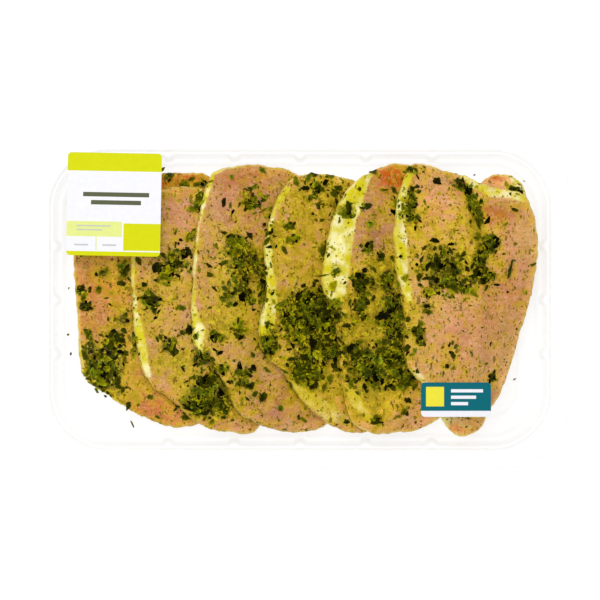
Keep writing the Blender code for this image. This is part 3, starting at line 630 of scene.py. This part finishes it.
def meat_colours(name, px, py, inset, number):
    """Clean colour of meat and fat, and the cover on it: oil, herbs and fat as shares."""
    _, oiliness, tone = SLICE_LOOKS[name]
    broad = fractal(px, py, 28 * MM, 3, BROAD + number)
    fine = fractal(px, py, 6 * MM, 3, FINE + number)
    pinkness = ease(0.25 + 0.5 * broad + 0.35 * fine + spots(px, py, ROSY))
    # Painted shade and light from the SHADE spots, and painted light growing within 5 mm of the
    # edge
    lit = 1 - spots(px, py, SHADE) + 0.3 * np.clip(1 - inset / (5 * MM), 0, 1)
    colour = blended(MEAT_BEIGE, pinkness, MEAT_PINK) * tone * lit[:, None]
    # Reddish meat, with painted light at thin top edges and painted shade by the crease
    warm_and_painted_light = np.clip(spots(px, py, WARM_AND_PAINTED_LIGHT) * (1 + 0.5 * fine), 0, 1)
    colour = blended(colour, 0.95 * warm_and_painted_light, MEAT_RED)

    fat = deep = np.zeros(px.shape)
    wobble = 1.1 * MM * fractal(px, py, 5 * MM, 3, WOBBLE + number)
    for share, line in FAT[name]:
        inside = strip_depth(px, py, line) + wobble
        fat = np.maximum(fat, share * ease(inside / (0.9 * MM) + 0.5))
        deep = np.maximum(deep, inside)
    mottle = 1.6 * fractal(px, py, 5 * MM, 4, CREAM + number)
    cream = ease(0.44 + 0.2 * ease(deep / (6 * MM)) + mottle)
    colour = blended(colour, fat, blended(FAT_YELLOW, cream, FAT_CREAM))
    # Painted light along the outer 1.8 mm of each slice's edge
    edge_painted_light = ease(np.clip(1 - inset / (1.8 * MM), 0, 1) * (0.8 + 0.6 * fine))
    colour = blended(colour, 0.7 * edge_painted_light, EDGE_PAINTED_LIGHT)
    grain = 1 + 0.06 * fine + 0.05 * fractal(px, py, 2.2 * MM, 2, GRAIN + number)

    herbs = np.clip(spots(px, py, CLUMPS, 1.3), 0, 1.4) * (1 - 0.35 * fat)
    around = np.clip(spots(px, py, CLUMPS, 3.2), 0, 1.3)
    oil = oiliness + 0.45 * spots(px, py, OIL) + 0.16 * around + 0.24 * herbs
    oil = (oil + 0.3 * broad) * (1 - 0.55 * edge_painted_light) * (1 - 0.75 * fat)
    cover = np.column_stack((oil, herbs, fat))
    return np.clip(colour * grain[:, None], 0, 1), np.clip(cover, 0, 1.4)


def slice_rings():
    """(inset, share of the way out from the middle, height from -1 below to 1 on top)."""
    rings = [(0, share, -1) for share in (0.3, 0.6, 0.8)] + [(4 * MM, 1, -1)]
    for step in range(13):
        angle = math.pi * (step / 12 - 0.5)
        rings.append((EDGE_ROUND * (1 - math.cos(angle)), 1, math.sin(angle)))
    rings += [(inset * MM, 1, 1) for inset in (2.7, 3.2, 3.8, 4.5, 5.3, CAP_INSET / MM)]
    return rings + [(CAP_INSET, share, 1) for share in np.linspace(0.97, 0.03, 44)]


def make_slice(pile, name, number, material):
    """One slice in detail: rings round it, then a fine cap over its top."""
    crumple = SLICE_LOOKS[name][0] * MM
    outline = smooth_outline(OUTLINES[name], AROUND)
    middle = outline.mean(axis=0)
    ragged = fractal(*outline.T, 8 * MM, 3, RAGGED + number)
    ragged = ragged + 0.55 * fractal(*outline.T, 2.6 * MM, 2, NICKS + number)
    reach = np.linalg.norm(outline - middle, axis=1, keepdims=True)
    out = (outline - middle) * (1 + (ragged - 0.3)[:, None] * MM / reach)
    reach = np.linalg.norm(out, axis=1, keepdims=True)
    points, insets = [], []
    for inset, share, side in slice_rings():
        px, py = (middle + out * (1 - inset / reach) * share).T
        relief = crumple * fractal(px, py, 8 * MM, 4, CRUMPLES + number)
        relief = relief + 0.12 * MM * fractal(px * 0.5, py * 1.6, 4 * MM, 3, FIBRES + number)
        rise = max(0.5 + 0.5 * side, 0.08) * pile.thickness(name, px, py)
        z = pile.underside(name, px, py) + rise + relief * max(side, 0)
        points.append(np.column_stack((px, py, z)))
        insets.append(np.full(AROUND, inset if share == 1 else CAP_INSET))
    faces = ring_faces(len(points), AROUND) + [tuple(reversed(range(AROUND)))]
    points = np.vstack(points)
    colours, cover = meat_colours(name, *points.T[:2], np.concatenate(insets), number)
    piece = mesh_object(f"{name}_meat", points, faces, material, colours)
    add_colours(piece.data, "Cover", cover)
    hand_over(piece, name)
    return piece, cover


# Herbs


def scatter_places(draw, count, background):
    """Places over the meat, mostly in the clumps, the rest in loose bunches everywhere."""
    weights = [rx * ry * strength for _, _, rx, ry, strength in CLUMPS]
    bunches = [tuple(draw.uniform(*span) for span in MEAT_SPAN) for _ in range(BUNCHES)]
    places = []
    while len(places) < count:
        if draw.random() < background:
            x, y = draw.choice(bunches)
            away = draw.gauss(0, BUNCH_SPREAD), draw.gauss(0, BUNCH_SPREAD)
        else:
            x, y, rx, ry, _ = draw.choices(CLUMPS, weights)[0]
            away = draw.gauss(0, CLUMP_SPREAD) * rx, draw.gauss(0, CLUMP_SPREAD) * ry
        places.append(((x + away[0]) * MM, (y + away[1]) * MM))
    return places


def leaf_shape(draw, length, width, sides, curl, thickness):
    """A torn leaf scrap, ragged and crumpled, both faces split alike, and each point's painted
    shade.
    """
    inner, rim = [], []
    lit = draw.uniform(0, math.tau)
    for i in range(sides):
        angle = math.tau * (i + draw.uniform(-0.35, 0.35)) / sides
        reach = draw.uniform(0.55, 1.15)
        x = math.cos(angle) * length / 2 * reach
        y = math.sin(angle) * width / 2 * reach
        bend = curl * (x * x / length - 0.5 * y * y / width)
        rim.append((x, y, bend + draw.uniform(-0.1, 0.1) * width))
        inner.append((x * 0.5, y * 0.5, 0.25 * bend + draw.uniform(-0.12, 0.12) * width))
    face = [(0, 0, 0)] + (inner if sides > 5 else []) + rim
    count = len(face)
    edge = count - sides
    # Painted light from one side across the leaf, painted light on its rim and shade in its middle
    painted_side_light = [0.6 * (x * math.cos(lit) / length + y * math.sin(lit) / width) for x, y, _ in face]
    painted_rim_middle = [INNER_SHADE] * edge + [RIM_SHADE] * sides
    shades = [rim_middle_shade + rise + draw.uniform(-0.25, 0.25) for rim_middle_shade, rise in zip(painted_rim_middle, painted_side_light)]
    points = [(x, y, z + side * thickness / 2) for side in (1, -1) for x, y, z in face]
    steps = [(i, (i + 1) % sides) for i in range(sides)]
    triangles = [(0, 1 + i, 1 + j) for i, j in steps]
    if edge > 1:
        for i, j in steps:
            triangles += [(1 + i, edge + i, 1 + j), (1 + j, edge + i, edge + j)]
    faces = triangles + [(count + a, count + c, count + b) for a, b, c in triangles]
    faces += [(edge + i, count + edge + i, count + edge + j, edge + j) for i, j in steps]
    return points, faces, shades + shades


class Scraps:
    """Many small scraps laid on the meat and joined into one mesh."""

    def __init__(self, draw, surface, fat, skipping):
        self.draw, self.surface, self.fat, self.skipping = draw, surface, fat, skipping
        self.points, self.faces, self.colours = [], [], []

    def lay(self, place, shape, tilt, lift, tint, angle=None):
        """Lays a scrap on what is topmost at a place, leaning by chance and a little raised."""
        draw = self.draw
        spot, normal, face, _ = self.topmost(*place)
        if spot is None or normal.z < STEEPEST:
            return
        fat = self.fat[face] if face < len(self.fat) else 0.0
        if draw.random() < self.skipping * fat:
            return
        up = (normal + Vector((draw.gauss(0, tilt), draw.gauss(0, tilt), 0))).normalized()
        angle = draw.uniform(0, math.tau) if angle is None else angle
        along = Vector((math.cos(angle), math.sin(angle), 0))
        across = up.cross(along).normalized()
        along = across.cross(up)
        base = spot + normal * (lift * draw.random())
        patch = 0.95 + PATCHINESS * noise.noise(Vector((*place, 0)) / PATCH_SIZE)
        tint = srgb(*tint) * min(draw.lognormvariate(0, TINT_SPREAD), TINT_MOST)
        tint = tint * (1 + 0.8 * fat) * patch
        start = len(self.points)
        points, faces, shades = shape
        placed = [base + along * x + across * y + up * z for x, y, z in points]
        half = len(placed) // 2
        for upper, lower in zip(placed[:half], placed[half:]):
            shift = self.draping(lower)
            upper.z += shift
            lower.z += shift
        self.points += placed
        # Each point's tint times its painted shade
        self.colours += [np.minimum(tint * max(shade, 0.2), LEAF_LIGHTEST) for shade in shades]
        self.faces += [tuple(start + index for index in face) for face in faces]

    def topmost(self, x, y):
        """The uppermost spot over a place, with its normal, face and distance."""
        return self.surface.ray_cast(Vector((x, y, 0.2)), Vector((0, 0, -1)))

    def draping(self, point):
        """How far to move a point so that it neither sinks in nor hovers far over the meat."""
        under = self.topmost(point.x, point.y)[0]
        if under is None:
            return 0.0
        gap = point.z - under.z
        return max(LEAF_REST - gap, 0.0) - min(max(gap - LEAF_HOVER, 0.0), LEAF_BEND)

    def finish(self, name, material):
        colours = np.array(self.colours)
        piece = mesh_object(name, self.points, self.faces, material, colours, smooth=False)
        hand_over(piece)


def make_herbs(slices, tray, leaf, speck):
    """Torn leaves, smaller scraps and fine specks over the visible meat."""
    draw = random.Random(SEED)
    points, faces, fat = [], [], []
    for piece, cover in slices:
        start = len(points)
        points += [vert.co.copy() for vert in piece.data.vertices]
        for face in piece.data.polygons:
            faces.append([start + index for index in face.vertices])
            fat.append(cover[face.vertices[0], 2])
    surface = BVHTree.FromPolygons(points, faces)

    leaves = Scraps(draw, surface, fat, 0.1)
    for x, y, length, width, angle, tone in LEAVES_SEEN:
        length, width = length * SEEN_SHRINK, width * SEEN_SHRINK
        shape = leaf_shape(draw, length, width, SEEN_SIDES, 0.35, SEEN_THICKNESS)
        tint = draw.choice((HERB_DARK, HERB_MID, HERB_LIGHT)[tone])
        leaves.lay((x * MM, y * MM), shape, 0.12, 0.9 * MM, tint, math.radians(angle))
    for place in scatter_places(draw, LEAVES, LEAF_LOOSE):
        length = draw.lognormvariate(math.log(LEAF_LENGTH), LEAF_LENGTH_SPREAD)
        length = min(length, LEAF_LONGEST) * MM
        width = length * draw.uniform(*LEAF_WIDTHS)
        sides, curl = draw.choice(LEAF_SIDES), draw.uniform(*LEAF_CURLS)
        shape = leaf_shape(draw, length, width, sides, curl, LEAF_THICKNESS)
        leaves.lay(place, shape, 0.32, 1.5 * MM, draw.choice(LEAF_TONES))
    leaves.surface, leaves.fat = tray, []
    for x, y, length, width, angle in TRAY_BITS:
        shape = leaf_shape(draw, length * MM, width * MM, 7, 0.2, SEEN_THICKNESS)
        tint = draw.choice(HERB_MID)
        leaves.lay((x * MM, y * MM), shape, 0.05, 0.3 * MM, tint, math.radians(angle))
    leaves.finish("herb_leaves", leaf)

    for name, count, loose, lengths, widths, sides, curl, thick, tilt, lift, brown in FINE_HERBS:
        bits = Scraps(draw, surface, fat, 0.4)
        tones = HERB_MID + HERB_LIGHT + HERB_BROWN * brown
        for place in scatter_places(draw, count, loose):
            length = draw.uniform(*lengths) * MM
            width = length * draw.uniform(*widths)
            shape = leaf_shape(draw, length, width, sides, curl, thick * MM)
            bits.lay(place, shape, tilt, lift * MM, draw.choice(tones))
        bits.finish(name, speck)


# Materials


class Graph:
    """A material, with short ways to add nodes to it."""

    def __init__(self, name):
        self.material = bpy.data.materials.new(name)
        self.material.use_nodes = True
        self.nodes = self.material.node_tree.nodes
        self.shader = self.nodes["Principled BSDF"]
        self.place = self.add("ShaderNodeTexCoord").outputs["Object"]

    def add(self, kind, inputs=None, **values):
        """A new node with its settings, and with its inputs by name or number."""
        node = self.nodes.new(kind)
        for key, value in values.items():
            setattr(node, key, value)
        self.fill(node, inputs or {})
        return node

    def fill(self, node, inputs):
        """Sets a node's inputs to values, or links them to other nodes' outputs."""
        for key, value in inputs.items():
            if isinstance(value, bpy.types.NodeSocket):
                self.material.node_tree.links.new(value, node.inputs[key])
            else:
                node.inputs[key].default_value = value

    def maths(self, operation, *values):
        node = self.add("ShaderNodeMath", dict(enumerate(values)), operation=operation)
        return node.outputs["Value"]

    def times(self, first, second):
        return self.maths("MULTIPLY", first, second)

    def total(self, start, *terms):
        """The start plus each value times its weight."""
        for value, weight in terms:
            start = self.maths("MULTIPLY_ADD", value, weight, start)
        return start

    def stretched(self, value, low, high):
        """0 to 1 as the value goes from low to high, smoothly."""
        inputs = {"Value": value, "From Min": low, "From Max": high}
        node = self.add("ShaderNodeMapRange", inputs, interpolation_type="SMOOTHSTEP")
        return node.outputs["Result"]

    def noise(self, size, detail, roughness=0.5, vector=None):
        """Noise whose features are about size metres across."""
        inputs = {"Vector": vector or self.place, "Scale": 1 / size, "Detail": detail,
                  "Roughness": roughness}
        return self.add("ShaderNodeTexNoise", inputs).outputs["Fac"]

    def scaled(self, turn, *scale):
        """Object coordinates turned round the vertical and then scaled."""
        inputs = {"Vector": self.place, "Rotation": (0, 0, turn), "Scale": scale}
        return self.add("ShaderNodeMapping", inputs).outputs["Vector"]

    def ramp(self, value, *stops):
        """A colour for each value, from (position, colour) stops."""
        node = self.add("ShaderNodeValToRGB", {"Fac": value})
        elements = node.color_ramp.elements
        while len(elements) < len(stops):
            elements.new(0.5)
        for element, (position, colour) in zip(elements, stops):
            element.position = position
            element.color = (*colour, 1)
        return node.outputs["Color"]

    def toned(self, value, stops):
        """The same from a table of display colours."""
        return self.ramp(value, *((position, srgb(*tone)) for position, tone in stops))

    def mix(self, share, first, second, blend="MIX"):
        inputs = {"Factor": share, "A": first, "B": second}
        node = self.add("ShaderNodeMix", inputs, data_type="RGBA", blend_type=blend)
        return node.outputs["Result"]

    def layer(self, name):
        return self.add("ShaderNodeVertexColor", layer_name=name).outputs["Color"]

    def channels(self, colour):
        parts = self.add("ShaderNodeSeparateColor", {"Color": colour})
        return [parts.outputs[name] for name in ("Red", "Green", "Blue")]

    def bump(self, height, strength, distance):
        inputs = {"Strength": strength, "Distance": distance, "Height": height}
        self.fill(self.shader, {"Normal": self.add("ShaderNodeBump", inputs).outputs["Normal"]})

    def finish(self, colour, roughness, specular):
        inputs = {"Base Color": colour, "Roughness": roughness, "Specular IOR Level": specular}
        self.fill(self.shader, inputs)
        return self.material


def flecks(graph, size, turn, reach, density):
    """Mask and random number of ragged flecks, one in some of the cells of a cell pattern."""
    warp = graph.add("ShaderNodeTexNoise", {"Vector": graph.place, "Scale": 1.4 / size})
    inputs = {0: warp.outputs["Color"], "Scale": size * 0.9}
    shift = graph.add("ShaderNodeVectorMath", inputs, operation="SCALE")
    inputs = {0: graph.scaled(turn, 1, 0.5, 1), 1: shift.outputs["Vector"]}
    moved = graph.add("ShaderNodeVectorMath", inputs, operation="ADD")
    inputs = {"Vector": moved.outputs["Vector"], "Scale": 1 / size}
    cells = graph.add("ShaderNodeTexVoronoi", inputs)
    chance, number, _ = graph.channels(cells.outputs["Color"])
    near = graph.stretched(cells.outputs["Distance"], reach, reach * 0.6)
    return graph.times(near, graph.maths("LESS_THAN", chance, density)), number


def meat_material():
    """Wet raw meat: grain, oil that lies thicker in places, and flecks of herb and pepper."""
    graph = Graph("wet_meat")
    oil, herbs, fat = graph.channels(graph.layer("Cover"))
    grain = graph.noise(0.8 * MM, 3, 0.6)
    streaks = graph.noise(2.2 * MM, 4, 0.6, graph.scaled(0.3, 0.35, 1.3, 1))
    texture = graph.total(0, (grain, 0.45), (streaks, 0.3), (graph.noise(7 * MM, 3), 0.25))
    shade = graph.ramp(texture, (0.39, (0.74, 0.68, 0.56)), (0.5, (0.98, 0.97, 0.95)),
                       (0.61, (1.13, 1.15, 1.22)))

    # Meat and the oily marinade on it
    veins = graph.maths("ABSOLUTE", graph.total(-0.5, (graph.noise(6 * MM, 3, 0.6), 1)))
    veins = graph.times(graph.stretched(veins, 0.02, 0.004), 0.32)
    colour = graph.mix(veins, graph.layer("Tint"), (*VEIN, 1))
    pool = graph.total(-0.5, (graph.noise(5 * MM, 4, 0.58), 1))
    amount = graph.total(oil, (pool, 1.7))
    thin = graph.ramp(amount, (0, (1, 1, 0.96)), (0.2, (0.98, 0.99, 0.62)),
                      (0.5, (0.93, 0.97, 0.24)))
    colour = graph.mix(1, colour, thin, "MULTIPLY")
    hidden = graph.ramp(amount, *((place, (share,) * 3) for place, share in MARINADE_COVER))
    colour = graph.mix(hidden, colour, graph.toned(amount, MARINADE))
    shaded = graph.mix(1, colour, shade, "MULTIPLY")
    colour = graph.mix(graph.total(1, (fat, -0.65)), colour, shaded)
    drops = graph.stretched(graph.noise(3.2 * MM, 5, 0.62), 0.54, 0.66)
    drops = graph.times(drops, graph.stretched(oil, 0.1, 0.55))
    colour = graph.mix(graph.times(drops, 0.75), colour, (*OIL_YELLOW, 1))

    # Herbs too fine to be pieces of their own
    # Herb mash in its own olive and yellow, with painted shade in its pits
    level = graph.total(-0.215, (graph.noise(1.5 * MM, 3, 0.62), 1), (graph.noise(6 * MM, 2), 0.4))
    mashed = graph.stretched(graph.total(herbs, (pool, 0.9)), 0.35, 0.75)
    colour = graph.mix(mashed, colour, graph.toned(level, MASH))
    bunched = graph.stretched(graph.noise(10 * MM, 2), 0.36, 0.64)
    bare = graph.times(graph.total(1, (fat, -0.5)), graph.total(0.25, (bunched, 1.5)))
    density = graph.times(graph.total(0.2, (oil, 0.3)), bare)
    small, pick = flecks(graph, 1.2 * MM, 0.7, 0.5, density)
    share = graph.times(small, graph.total(0.8, (fat, -0.4)))
    colour = graph.mix(share, colour, graph.toned(pick, SMALL_FLECKS))
    density = graph.times(graph.total(0.07, (herbs, 0.24)), bare)
    large, pick = flecks(graph, 2.2 * MM, -0.5, 0.46, density)
    colour = graph.mix(graph.times(large, 0.75), colour, graph.toned(pick, LARGE_FLECKS))
    graph.bump(graph.total(texture, (large, 0.4)), 0.6, 0.6 * MM)
    return graph.finish(colour, graph.total(0.45, (oil, -0.15)), 0.06)


def leaf_material(name, low, high):
    """Oily herb leaf: each scrap's own green, mottled."""
    graph = Graph(name)
    mottle = graph.noise(1.9 * MM, 4, 0.6)
    shade = graph.ramp(mottle, (0.34, low), (0.48, (0.95, 1, 0.8)), (0.64, high))
    graph.bump(graph.noise(0.9 * MM, 3), 0.6, 0.3 * MM)
    return graph.finish(graph.mix(1, graph.layer("Tint"), shade, "MULTIPLY"), 0.5, 0.01)


def clear_material(name, face_on, edge_on, start, bend_shade=0):
    """Clear plastic: greyer past start where seen along its surface, and painted greyer at each
    bend.
    """
    graph = Graph(name)
    graph.finish((0.6, 0.6, 0.58, 1), 0.08, 0.3)
    facing = graph.add("ShaderNodeLayerWeight", {"Blend": 0.35}).outputs["Facing"]
    share = graph.total(face_on, (graph.stretched(facing, start, 1), edge_on))
    # Painted shade, stored on the tray's rings
    if bend_shade:
        share = graph.total(share, (graph.layer("BendShade"), bend_shade))
    clear = graph.add("ShaderNodeBsdfTransparent").outputs["BSDF"]
    inputs = {"Fac": share, 1: clear, 2: graph.shader.outputs["BSDF"]}
    mixed = graph.add("ShaderNodeMixShader", inputs).outputs["Shader"]
    graph.fill(graph.nodes["Material Output"], {"Surface": mixed})
    return graph.material


def print_material(name, tone):
    """Matt coated paper in one display colour, with a faint fibre."""
    graph = Graph(name)
    low, high = (np.minimum(srgb(*tone) * share, 1) for share in (0.97, 1.02))
    fibre = graph.ramp(graph.noise(2 * MM, 3), (0.3, low), (0.7, high))
    return graph.finish(fibre, 0.45, 0.05)


# Tray and labels


def corner_arc(centre, radius, start, steps):
    """Points of a quarter circle, anticlockwise from the angle start."""
    turns = (start + math.pi / 2 * i / steps for i in range(steps + 1))
    x, y = centre
    return [(x + radius * math.cos(turn), y + radius * math.sin(turn)) for turn in turns]


def rib_inset(place, ribs):
    """Share of the ribs' depth at a place along a side: a blunt crest with sloping flanks."""
    near = min(abs(place - rib) for rib in ribs)
    return float(ease(np.array((RIB_HALF_WIDTH - near) / RIB_FLANK)))


def tray_ring(inset, radius, height, rib_depth):
    """One ring of the tray in metres: fine corners, and ribs along the straight sides."""
    half_x, half_y = RIM_LENGTH / 2 / MM - inset, RIM_WIDTH / 2 / MM - inset
    sides = ((half_x, half_y, RIBS_LONG), (half_y, half_x, RIBS_SHORT))
    turns = ((1, 0), (0, 1), (-1, 0), (0, -1))
    points = []
    for quarter, (cos, sin) in enumerate(turns):
        along, across, ribs = sides[quarter % 2]
        end = along - radius
        part = corner_arc((end, across - radius), radius, 0, CORNER_STEPS)
        for place in np.linspace(end - SIDE_END, SIDE_END - end, SIDE_POINTS[quarter % 2]):
            part.append((place, across - rib_depth * rib_inset(place, ribs)))
        points += [(x * cos - y * sin, x * sin + y * cos, height) for x, y in part]
    return np.array(points) * MM


def make_tray(material):
    """The tray's wall in detail, given its thickness by a modifier."""
    rings = [tray_ring(*station[:4]) for station in TRAY_STATIONS]
    count = len(rings[0])
    points = np.vstack(rings)
    faces = ring_faces(len(rings), count)
    # Painted shade for each ring, darkest at the tray's bends
    bend_shade = np.repeat([station[4] for station in TRAY_STATIONS], count)
    piece = mesh_object("tray_shell", points, faces, material)
    add_colours(piece.data, "BendShade", np.column_stack((bend_shade, bend_shade, bend_shade)))
    shell = piece.modifiers.new("wall", "SOLIDIFY")
    shell.thickness = WALL
    shell.offset = -1
    hand_over(piece, "tray")
    return BVHTree.FromPolygons(points.tolist(), faces)


def rounded_rectangle(half_length, half_width, radius, steps):
    """Anticlockwise points of a plain rounded rectangle."""
    corners = ((1, 1), (-1, 1), (-1, -1), (1, -1))
    points = []
    for number, (right, up) in enumerate(corners):
        centre = (right * (half_length - radius), up * (half_width - radius))
        points += corner_arc(centre, radius, number * math.pi / 2, steps)
    return points


def clipped(outline, low_x, low_y, high_x, high_y):
    """The part of a convex outline inside a box."""
    sides = ((0, low_x, 1), (0, high_x, -1), (1, low_y, 1), (1, high_y, -1))
    for axis, limit, sign in sides:
        kept = []
        for a, b in zip(outline, outline[1:] + outline[:1]):
            da, db = (a[axis] - limit) * sign, (b[axis] - limit) * sign
            if da >= 0:
                kept.append(a)
            if (da >= 0) != (db >= 0):
                t = da / (da - db)
                kept.append((a[0] + t * (b[0] - a[0]), a[1] + t * (b[1] - a[1])))
        outline = kept
    return outline


def prism(form, outline, low, high, slot):
    """Adds a closed prism over an outline in millimetres."""
    bottom = [form.verts.new((x * MM, y * MM, low)) for x, y in outline]
    top = [form.verts.new((x * MM, y * MM, high)) for x, y in outline]
    count = len(outline)
    made = [form.faces.new(top), form.faces.new(list(reversed(bottom)))]
    for i in range(count):
        j = (i + 1) % count
        made.append(form.faces.new((bottom[i], bottom[j], top[j], top[i])))
    for face in made:
        face.material_index = slot


def make_label(node, centre, size, turn, materials, fields):
    """A label with its printed fields, each a hair above the one before."""
    outline = rounded_rectangle(size[0] / 2, size[1] / 2, LABEL_CORNER, LABEL_CORNER_STEPS)
    base = RIM_HEIGHT + 2 * CLEARANCE + FILM
    face = base + LABEL
    form = bmesh.new()
    prism(form, outline, base, face, 0)
    for layer, (index, *box) in enumerate(fields):
        top = face + PRINT_SINK + PRINT_STEP * layer
        prism(form, clipped(outline, *box), face - PRINT_SINK, top, index)
    mesh = bpy.data.meshes.new(node)
    form.to_mesh(mesh)
    form.free()
    piece = new_object(f"{node}_paper", mesh)
    for material in materials:
        mesh.materials.append(material)
    piece.location = (centre[0] * MM, centre[1] * MM, 0)
    piece.rotation_euler.z = math.radians(turn)
    hand_over(piece, node)


def make_labels():
    """Both labels, with plain fields and bars for what is printed on them."""
    prints = {name: print_material(f"label_{name}", tone) for name, tone in LABEL_TONES.items()}
    for node, slot, centre, size, turn, tones, fields in LABELS:
        make_label(node, centre, size, turn, [prints[tone] for tone in tones], fields)


# Stage


def make_stage():
    """White floor and world, a soft key light and the camera above."""
    white = Graph("floor_white")
    white.finish((0.25, 0.25, 0.25, 1), 0.9, 0)
    white.fill(white.shader, {"Emission Color": (1, 1, 1, 1), "Emission Strength": FLOOR_GLOW})
    corners = np.array(((-1, -1, 0), (1, -1, 0), (1, 1, 0), (-1, 1, 0))) * FLOOR_REACH
    floor = mesh_object("floor", corners, [(0, 1, 2, 3)], white.material, smooth=False)
    floor.location.z = -FLOOR_DROP

    scene = bpy.context.scene
    scene.world = bpy.data.worlds.new("studio")
    scene.world.use_nodes = True
    background = scene.world.node_tree.nodes["Background"]
    background.inputs["Color"].default_value = (1, 1, 1, 1)
    background.inputs["Strength"].default_value = WORLD_LIGHT

    light = bpy.data.lights.new("key", "AREA")
    light.shape = "DISK"
    light.size = KEY_SIZE
    light.energy = KEY_POWER
    key = new_object("key", light)
    key.location = KEY_PLACE
    key.rotation_euler = (Vector((0, 0, 0.02)) - key.location).to_track_quat("-Z", "Y").to_euler()

    lens = bpy.data.cameras.new("camera")
    lens.sensor_width = SENSOR
    lens.lens = SENSOR * CAMERA_HEIGHT / VIEW_WIDTH
    lens.clip_end = 20
    camera = new_object("camera", lens)
    camera.location = (0, 0, RIM_HEIGHT + CAMERA_HEIGHT)
    scene.camera = camera
    scene.view_settings.view_transform = "Standard"
    scene.view_settings.look = "None"


def main():
    meat = meat_material()
    pile = Pile()
    slices = [make_slice(pile, name, number, meat) for number, name in enumerate(OUTLINES)]
    leaf = leaf_material("herb_leaf", (0.55, 0.56, 0.4), (1.5, 1.48, 0.9))
    speck = leaf_material("herb_speck", (0.7, 0.7, 0.6), (1.3, 1.25, 0.9))
    tray = make_tray(clear_material("tray_plastic", 0.015, 0.5, 0.64, 0.22))
    make_herbs(slices, tray, leaf, speck)
    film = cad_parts["lid_film"]
    film.data.materials.clear()
    film.data.materials.append(clear_material("film_plastic", 0.0004, 0.2, 0.3))
    make_labels()
    make_stage()


main()
